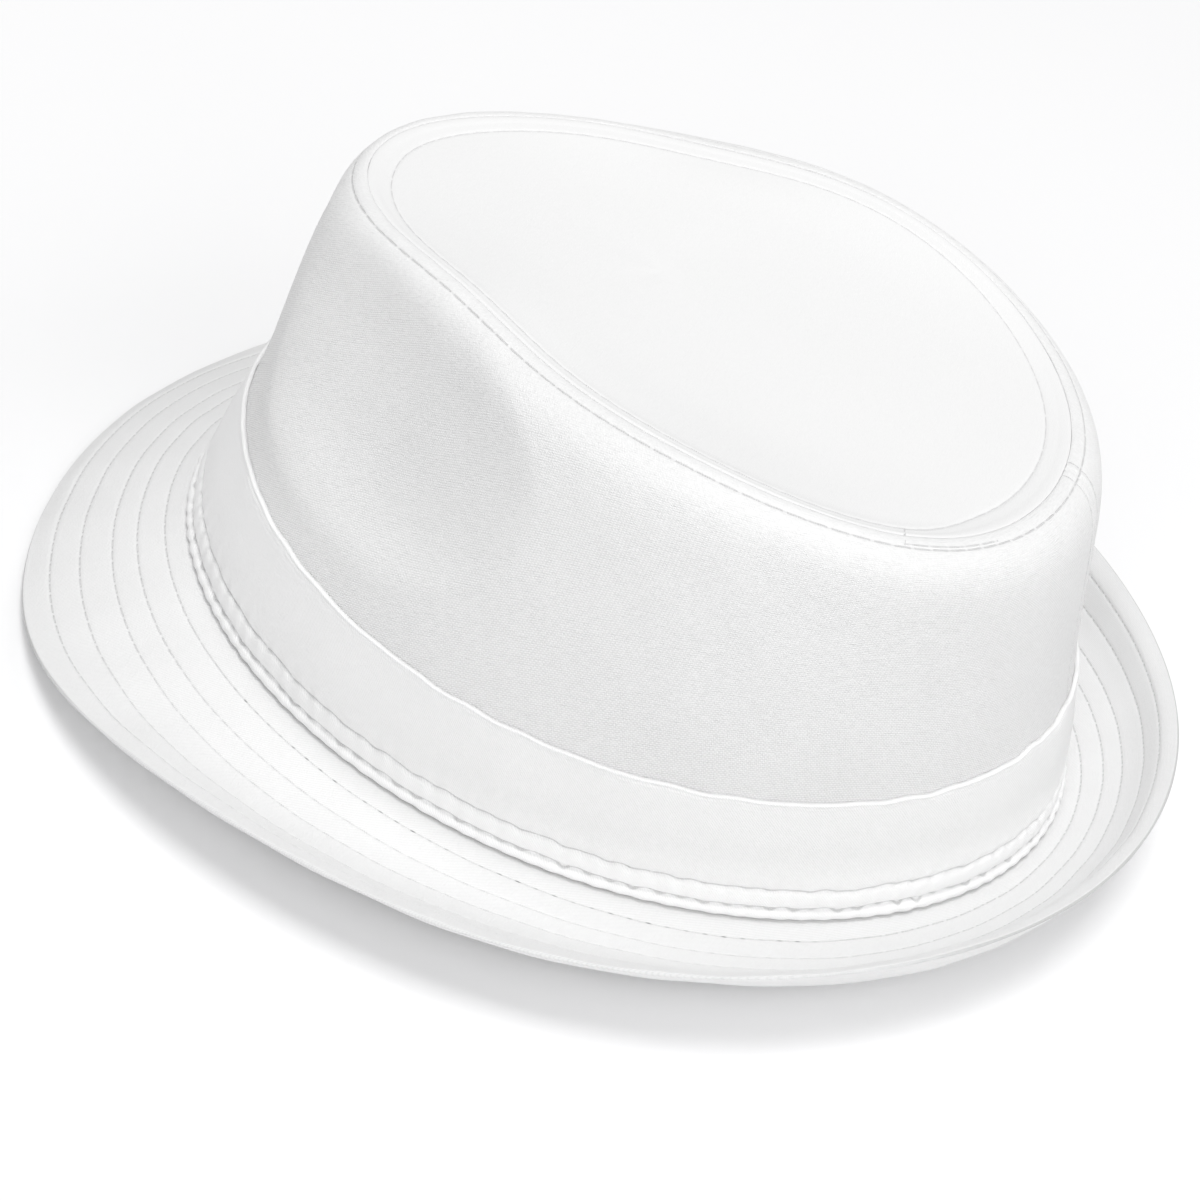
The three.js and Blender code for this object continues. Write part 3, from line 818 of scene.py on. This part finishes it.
# Width along the cloth, and slope in degrees at the root, a third out, near the edge and at the edge
BRIM_SECTIONS = [
    {"at": 0, "width": 31.1, "root": -26, "inner": -21, "outer": -23, "edge": -35},
    {"at": 30, "width": 35.4, "root": -20, "inner": -18, "outer": -15, "edge": -10},
    {"at": 60, "width": 40.9, "root": -3, "inner": -9, "outer": 24, "edge": 29},
    {"at": 90, "width": 42.6, "root": 1, "inner": 8.5, "outer": 36, "edge": 36},
    {"at": 120, "width": 39.2, "root": -3, "inner": 20, "outer": 53, "edge": 45},
    {"at": 150, "width": 31.5, "root": 6, "inner": 30, "outer": 70, "edge": 43},
    {"at": 180, "width": 28.0, "root": 24, "inner": 37, "outer": 71, "edge": 44},
]
SLOPE_STOPS = [0, 0.3, 0.78, 1]
# The five rings of stitches as shares of the width
BRIM_RINGS = [0.127, 0.303, 0.459, 0.659, 0.839]
BRIM_STITCH = 3.9
BRIM_TURNS = 720
BRIM_WIDTH_STEPS = 1000
EDGE_THINS_BY = 0.65
EDGE_ROUNDS_FROM = 0.985
# The cloth swells between two rings, to its full height this many mm from them, and its waves slant as
# over a brim of one even width
RING_SWELL = {"height": 0.08, "full": 3}
WAVES_WIDTH = 40
# Rows of points across the width: close beside each ring, wide between, and closest at the edge
BESIDE_RING = [0.006, 0.013, 0.024, 0.04]
BETWEEN_RINGS = {"rows": 34, "until": 0.965, "clear_of_ring": 0.012}
EDGE_ROWS = [0.975, 0.985, 0.991, 0.996, 0.999, 1.0]

brim_width = round_the_hat(BRIM_SECTIONS, "width")
brim_slopes = [round_the_hat(BRIM_SECTIONS, column) for column in ("root", "inner", "outer", "edge")]


def brim_slope(bearing, share):
    """Slope of the brim at a share of its width, in radians, positive where it climbs outward."""
    slopes = [np.radians(slope(bearing)) for slope in brim_slopes]
    total = slopes[0]
    for zone in range(3):
        bend = slopes[zone + 1] - slopes[zone]
        total = total + bend * eased(share, SLOPE_STOPS[zone], SLOPE_STOPS[zone + 1])
    return total


def brim_place(bearing, run, height):
    """Points at a run outward from the foot of the band and a height over the foot of the crown."""
    x, y, _ = offset_curve(head_oval, bearing, BRIM_FOOT + run)
    return np.stack((x, y, foot_height(bearing) + height), -1)


beside_ring = np.concatenate((-np.array(BESIDE_RING), [0], BESIDE_RING))
near_rings = np.concatenate([ring + beside_ring for ring in BRIM_RINGS])
between_rings = [
    share for share in np.linspace(0, BETWEEN_RINGS["until"], BETWEEN_RINGS["rows"])
    if np.abs(near_rings - share).min() > BETWEEN_RINGS["clear_of_ring"]]
brim_shares = np.sort(np.concatenate((between_rings, near_rings, EDGE_ROWS)))
brim_steps = np.unique(np.round(brim_shares * BRIM_WIDTH_STEPS).astype(int))

brim_bearing = np.linspace(0, 2 * math.pi, BRIM_TURNS + 1)
brim_turns, share_grid = np.meshgrid(brim_bearing, brim_steps / BRIM_WIDTH_STEPS)
step_middles = (np.arange(BRIM_WIDTH_STEPS)[:, None] + 0.5) / BRIM_WIDTH_STEPS
step_slope = brim_slope(brim_bearing[None, :], step_middles)
step_width = brim_width(brim_bearing) / BRIM_WIDTH_STEPS
no_run = np.zeros((1, BRIM_TURNS + 1))
run_grid, rise_grid = (
    np.concatenate((no_run, np.cumsum(step_width * way(step_slope), axis=0)))[brim_steps]
    for way in (np.cos, np.sin))
slope_grid = brim_slope(brim_turns, share_grid)
slope_grid[0] /= 2
width_grid = brim_width(brim_turns)

ring_gaps = np.stack([(share_grid - ring) * width_grid for ring in BRIM_RINGS])
ring_at = [int(np.argmin(np.abs(share_grid[:, 0] - ring))) for ring in BRIM_RINGS]
ring_lengths = [run_length(brim_place(brim_bearing, run_grid[at], rise_grid[at])) for at in ring_at]
ring_stitches = [round(length[-1] / BRIM_STITCH) for length in ring_lengths]
ring_phases = [length / length[-1] * count for length, count in zip(ring_lengths, ring_stitches)]

brim_detail = (
    RING_SWELL["height"] * np.minimum(np.abs(ring_gaps).min(0) / RING_SWELL["full"], 1)
    + ripple(31, brim_turns, share_grid * WAVES_WIDTH, size=0.06, fewest=6, most=40, across=14)
    - ROW_DEPTH * hump(ring_gaps, ROW_REACH).sum(0))
brim_detail *= eased(share_grid * width_grid, start=0, end=1.2)

edge_thins = 1 - EDGE_THINS_BY * eased(share_grid, start=0.86)
past_round = np.clip((share_grid - EDGE_ROUNDS_FROM) / (1 - EDGE_ROUNDS_FROM), 0, 1)
round_off = np.sqrt(1 - past_round ** 2)
half_thick = (BRIM_CLOTH / 2 * edge_thins + brim_detail) * round_off
brim_over, brim_below = (
    brim_place(brim_turns, run_grid - np.sin(slope_grid) * level, rise_grid + np.cos(slope_grid) * level)
    for level in (-BRIM_CLOTH / 2 + half_thick, -BRIM_CLOTH / 2 - half_thick))

flange_turns, flange_runs = np.meshgrid(brim_bearing, [-BRIM_FOOT, -BRIM_FOOT / 2])
flange_over = brim_place(flange_turns, flange_runs, 0 * flange_runs)
flange_below = brim_place(flange_turns, flange_runs, 0 * flange_runs - BRIM_CLOTH)
brim_grid = np.concatenate((flange_below, brim_below, brim_over[-2::-1], flange_over[::-1]))

across_brim = share_grid * width_grid
reach_grid = BRIM_FOOT + HEAD_WIDTH / 2 + np.concatenate(
    (flange_runs, across_brim, across_brim[-2::-1], flange_runs[::-1], flange_runs[:1]))
all_turns = np.broadcast_to(brim_bearing, reach_grid.shape)
brim_cloth = np.stack((reach_grid * np.sin(all_turns), -reach_grid * np.cos(all_turns)), -1)
# The hard crease of the edge is painted with the grey of a channel without holes, as painted shade along the
# edge. Each row is on both faces
edge_shade_row = (MIDDLE_OF_STITCH, (share_grid - 1) * width_grid)
brim_rows = [
    (phase, np.concatenate((gap, gap[-2::-1]))) for phase, gap in (*zip(ring_phases, ring_gaps), edge_shade_row)]
brim = sewn_piece(
    "stitched_brim", brim_grid[:, :-1], corners(brim_cloth),
    nearest_row(brim_rows, before=len(flange_runs), after=len(flange_runs) + 1))
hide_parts("brim")

TWILL_LINE = 0.62
TWILL_LINE_SHARE = 0.7
# Strengths of the painted shade in the brim's needle holes and channels: elsewhere, and how much they change
# at the sides
BRIM_HOLE_SHADE = {"elsewhere": 0.15, "more": 0.85}
BRIM_CHANNEL_SHADE = {"elsewhere": 0.75, "less": 0.55}


def twill(finish, along, up):
    """Diagonal lines of a fine twill crossed by its threads, from 0 to 1."""
    lines = finish.wave(along + up, TWILL_LINE)
    return TWILL_LINE_SHARE * lines + (1 - TWILL_LINE_SHARE) * finish.wave(along, POPLIN_THREAD)


def brim_stitch_shade(finish, along, up):
    """Painted shade of the brim's rows: paler channels at the sides, and darker needle holes in the
    innermost ring there.
    """
    reach = (along * along + up * up) ** 0.5
    at_sides = finish.eased(abs(along) / reach, start=0.6, end=0.9)
    more = BRIM_HOLE_SHADE["more"] * at_sides * finish.eased(reach, start=100, end=96)
    less = BRIM_CHANNEL_SHADE["less"] * at_sides
    return BRIM_HOLE_SHADE["elsewhere"] + more, BRIM_CHANNEL_SHADE["elsewhere"] - less


# The brim's greys lie darker than those of the same cotton elsewhere: painted shade on the brim
brim.data.materials.append(
    white_cotton("brim_twill", twill, BRIM_STITCH, brim_stitch_shade, dark=0.78, bright=0.865, relief=0.45))

oval_out = offset_curve(head_oval, brim_bearing, 0)[2]
over_rows, under_rows = [], []
for at, count in zip(ring_at, ring_stitches):
    tilt = slope_grid[at][:, None]
    out = np.concatenate((-np.sin(tilt) * oval_out, np.cos(tilt)), -1)
    over_rows.append((brim_over[at], out, count))
    under_rows.append((brim_below[at], -out, count))
for name, rows in (("brim_top_stitches", over_rows), ("brim_under_stitches", under_rows)):
    thread_stitches(name, rows).data.materials.append(white_thread)

# Hat band
# A band of the same cotton cut on the bias round the foot of the crown. Its foot is a fat fold that stands
# over the brim, two rows of stitches above the fold pucker it, and its top edge is a thin bright fold.

FOOT_ROLL = 1.35
TOP_ROLL = 0.3
TOP_ROLL_STANDS_OUT = 0.2
# The face of the band comes this much nearer the crown over this height below its top edge
TOP_DRAWN_IN = {"by": 0.7, "over": 15}
BAND_TURNS = 1000
BAND_BACK = CROWN_CLOTH + SEWN_GAP
BAND_FACE = BAND_BACK + BAND_CLOTH
LOW_SEAM = 2.95
HIGH_SEAM = 7.8
PUCKER = 4.8
UNDER_TOP = BAND_HEIGHT - 2 * TOP_ROLL
TOP_FOLD = UNDER_TOP - 0.9
# Arcs of the two folds in degrees, and heights up the face, each with its number of rows of points
FOOT_ARC = (-90, 58, 13)
TOP_ARC = (-60, 90, 10)
FACE_ROWS = [
    (LOW_SEAM - 0.12, HIGH_SEAM + 2.1, 30),
    (HIGH_SEAM + 3, BAND_HEIGHT - 5, 10),
    (BAND_HEIGHT - 4, UNDER_TOP - 0.15, 12),
]
CLEAR_OF_CROWN = 0.05
# The puckers of the upper seam lag behind the lower one's by this many points of the girth
HIGH_SEAM_LAGS = 5
# How far the puckers push each seam and the fold of the top edge up and down
PUSH = {"low": 0.24, "high": 0.26, "top": 0.2}
# Depths of the seams and of the groove below the top edge, and heights of the swells and the puckers
LOW_SEAM_DEPTH = 0.7
HIGH_SEAM_DEPTH = 0.5
BACK_DEPTH = {"face": 0.35, "foot": 0.3}
TOP_FOLD_DEPTH = 0.12
SWELL = {"between_seams": 0.35, "above_seams": 0.3}
PUCKERED = {"low": 0.2, "high": 0.22, "foot": 0.1}

band_bearing = np.linspace(0, 2 * math.pi, BAND_TURNS + 1)
band_girth = run_length(low_wall(band_bearing, np.full(BAND_TURNS + 1, LOW_SEAM), BAND_FACE))
pucker_count = round(band_girth[-1] / PUCKER)
band_phase = band_girth / band_girth[-1] * pucker_count


def folded_edge(middle_height, middle_outset, radius, arc):
    """Heights and outsets of a folded edge's round, along an arc from its underside up."""
    angle = np.radians(np.linspace(*arc))
    return np.stack((middle_height + radius * np.sin(angle), middle_outset + radius * np.cos(angle)), -1)


def faded(distance, reach):
    """1 at no distance, fading from there at once over the reach."""
    return np.exp(-np.abs(distance) / reach)


face_heights = np.concatenate([np.linspace(*rows) for rows in FACE_ROWS])
foot_middle = BAND_FACE + FOOT_ROLL_STANDS_OUT - FOOT_ROLL
top_middle = BAND_FACE + TOP_ROLL_STANDS_OUT - TOP_ROLL
band_outline = np.concatenate((
    [(SEWN_GAP, BAND_BACK)],
    folded_edge(SEWN_GAP + FOOT_ROLL, foot_middle, FOOT_ROLL, FOOT_ARC),
    np.stack((face_heights, np.full(len(face_heights), BAND_FACE)), -1),
    folded_edge(BAND_HEIGHT - TOP_ROLL, top_middle, TOP_ROLL, TOP_ARC),
    [(BAND_HEIGHT, CROWN_CLOTH + CLEAR_OF_CROWN)]))

band_turns, band_up = np.meshgrid(band_bearing, band_outline[:, 0])
down_from_top = BAND_HEIGHT - band_up
drawn_in = TOP_DRAWN_IN["by"] * eased(down_from_top, TOP_DRAWN_IN["over"], end=1)
band_outset = np.maximum(band_outline[:, 1:] - drawn_in, band_outline[-1, 1])
puckers = np.cos(2 * math.pi * band_phase) + ripple(41, band_bearing, 0, size=0.4, fewest=60, most=150)
high_puckers = np.roll(puckers, HIGH_SEAM_LAGS)
waver = ripple(42, band_bearing, 0, size=0.14, fewest=30, most=90)
low_gap = band_up - LOW_SEAM - PUSH["low"] * puckers - waver
high_gap = band_up - HIGH_SEAM - PUSH["high"] * high_puckers - waver
top_gap = band_up - TOP_FOLD - PUSH["top"] * puckers
strip = np.clip((band_up - LOW_SEAM) / (HIGH_SEAM - LOW_SEAM), 0, 1)
on_face = eased(band_up, start=2.0, end=2.9) * eased(band_up, UNDER_TOP, UNDER_TOP - 0.5)
on_foot = eased(band_up, start=0.2, end=0.7) * eased(band_up, start=3.2, end=2.0)
back_seam = hump((band_turns - math.pi) * HEAD_LENGTH / 2, reach=0.45)
band_detail = on_face * (
    - LOW_SEAM_DEPTH * hump(low_gap, reach=0.5)
    - HIGH_SEAM_DEPTH * hump(high_gap, reach=0.45)
    - BACK_DEPTH["face"] * back_seam
    + SWELL["between_seams"] * np.sin(math.pi * strip)
    + SWELL["above_seams"] * eased(band_up, HIGH_SEAM, HIGH_SEAM + 2.5)
    - TOP_FOLD_DEPTH * hump(top_gap, reach=0.35)
    + PUCKERED["low"] * puckers * faded(low_gap, reach=1.8)
    + PUCKERED["high"] * high_puckers * faded(high_gap, reach=2.0)
    + ripple(43, band_turns, band_up, size=0.09, fewest=6, most=28, across=8))
band_detail = band_detail + on_foot * (PUCKERED["foot"] * puckers - BACK_DEPTH["foot"] * back_seam)
top_waves = ripple(44, band_turns, 0, size=0.16, fewest=20, most=60) * eased(down_from_top, start=5, end=2)
lifted = band_up * band_height(band_turns) / BAND_HEIGHT + top_waves
band_grid = low_wall(band_turns, lifted, band_outset + band_detail)

band_section = np.concatenate(([0], np.cumsum(np.hypot(*np.diff(band_outline, axis=0).T)), [0]))
band_cloth = np.stack(np.meshgrid(band_girth, band_section), -1)
band_rows = [(band_phase, low_gap), (band_phase, high_gap)]
hat_band = sewn_piece(
    "folded_band", band_grid[:, :-1], corners(band_cloth), nearest_row(band_rows, after=1))
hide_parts("hat_band")

# The band's needle holes and channels are painted with shade at half strength
HALF_STITCH_SHADE = (0.5, 0.5)
# The band's greys lie lighter than those of the same cotton elsewhere: painted light on the band
hat_band.data.materials.append(
    white_cotton("band_bias", twill, PUCKER, HALF_STITCH_SHADE, dark=0.885, bright=0.975, relief=0.5))

band_out = np.concatenate((offset_curve(head_oval, band_bearing, 0)[2], np.zeros((BAND_TURNS + 1, 1))), -1)
seam_rows = [
    (line_across(-gap, band_grid, 0), band_out, pucker_count) for gap in (low_gap, high_gap)]
thread_stitches("hat_band_stitches", seam_rows).data.materials.append(white_thread)

# Floor, light and camera
# A plain pale floor under four soft panels, overhead, beside the hat and behind it, with even light from
# all round, and the camera at the photograph's angle to the hat.

CAMERA_AZIMUTH = math.radians(7.376)
CAMERA_ELEVATION = math.radians(35.393)
CAMERA_ROLL = math.radians(19.892)
CAMERA_DISTANCE = 577.7
CAMERA_LENS = 75.98
SENSOR = 36
PHOTO_WIDTH = 1200
SHIFT_RIGHT = 29.6
SHIFT_DOWN = 22.8

toward = np.array([
    math.cos(CAMERA_ELEVATION) * math.cos(CAMERA_AZIMUTH),
    math.cos(CAMERA_ELEVATION) * math.sin(CAMERA_AZIMUTH),
    math.sin(CAMERA_ELEVATION)])
level_right = unit(np.cross(-toward, (0, 0, 1)))
level_down = np.cross(-toward, level_right)
right = math.cos(CAMERA_ROLL) * level_right - math.sin(CAMERA_ROLL) * level_down
down = math.sin(CAMERA_ROLL) * level_right + math.cos(CAMERA_ROLL) * level_down
still = lie_down(np.zeros(3))
place = lie_down(CAMERA_DISTANCE * toward)
turned = [(lie_down(axis) - still) / MM for axis in (right, -down, toward)]

camera_data = bpy.data.cameras.new("camera")
camera_data.lens = CAMERA_LENS
camera_data.sensor_width = SENSOR
camera_data.shift_x = -SHIFT_RIGHT / PHOTO_WIDTH
camera_data.shift_y = SHIFT_DOWN / PHOTO_WIDTH
camera = bpy.data.objects.new("camera", camera_data)
camera.matrix_world = Matrix.Translation(Vector(place)) @ Matrix(np.array(turned).T.tolist()).to_4x4()
bpy.context.scene.collection.objects.link(camera)
bpy.context.scene.camera = camera

FLOOR_SIZE = 60.0
FLOOR_DROP = 0.0003
FLOOR_PALE = (0.97, 0.97, 0.975, 1)
floor_mesh = bpy.data.meshes.new("floor")
half = FLOOR_SIZE / 2
floor_mesh.from_pydata(
    [(x * half, y * half, -FLOOR_DROP) for x, y in ((-1, -1), (1, -1), (1, 1), (-1, 1))], [], [(0, 1, 2, 3)])
floor = bpy.data.objects.new("floor", floor_mesh)
bpy.context.scene.collection.objects.link(floor)
floor_finish = Finish("pale_floor")
floor_paint = floor_finish.node("BsdfPrincipled", {}, {
    "Base Color": FLOOR_PALE, "Roughness": 0.9, "Specular IOR Level": 0.1})
floor_finish.node("OutputMaterial", {}, {"Surface": floor_paint})
floor_mesh.materials.append(floor_finish.material)

# Place in metres and power in watts of each soft panel, all of one size and aimed at the hat
PANEL_SIZE = 2.65
HAT_PLACE = Vector((0, 0, 0))
PANELS = [
    {"name": "overhead_panel", "place": (0, 0, 5), "power": 135},
    {"name": "near_panel", "place": (4.2, 0, 2.73), "power": 65},
    {"name": "near_rear_panel", "place": (2.97, 2.97, 2.73), "power": 38},
    {"name": "rear_panel", "place": (0, 4.2, 2.73), "power": 32},
]
for panel in PANELS:
    light = bpy.data.lights.new(panel["name"], "AREA")
    light.shape = "SQUARE"
    light.size = PANEL_SIZE
    light.energy = panel["power"]
    lamp = bpy.data.objects.new(panel["name"], light)
    lamp.location = panel["place"]
    aim = HAT_PLACE - Vector(panel["place"])
    lamp.rotation_euler = aim.to_track_quat("-Z", "Y").to_euler()
    bpy.context.scene.collection.objects.link(lamp)

WORLD_LIGHT = 0.27
world = bpy.data.worlds.new("studio")
bpy.context.scene.world = world
world.use_nodes = True
world.node_tree.nodes["Background"].inputs["Color"].default_value = (1, 1, 1, 1)
world.node_tree.nodes["Background"].inputs["Strength"].default_value = WORLD_LIGHT
bpy.context.scene.view_settings.view_transform = "Standard"

bpy.context.view_layer.update()
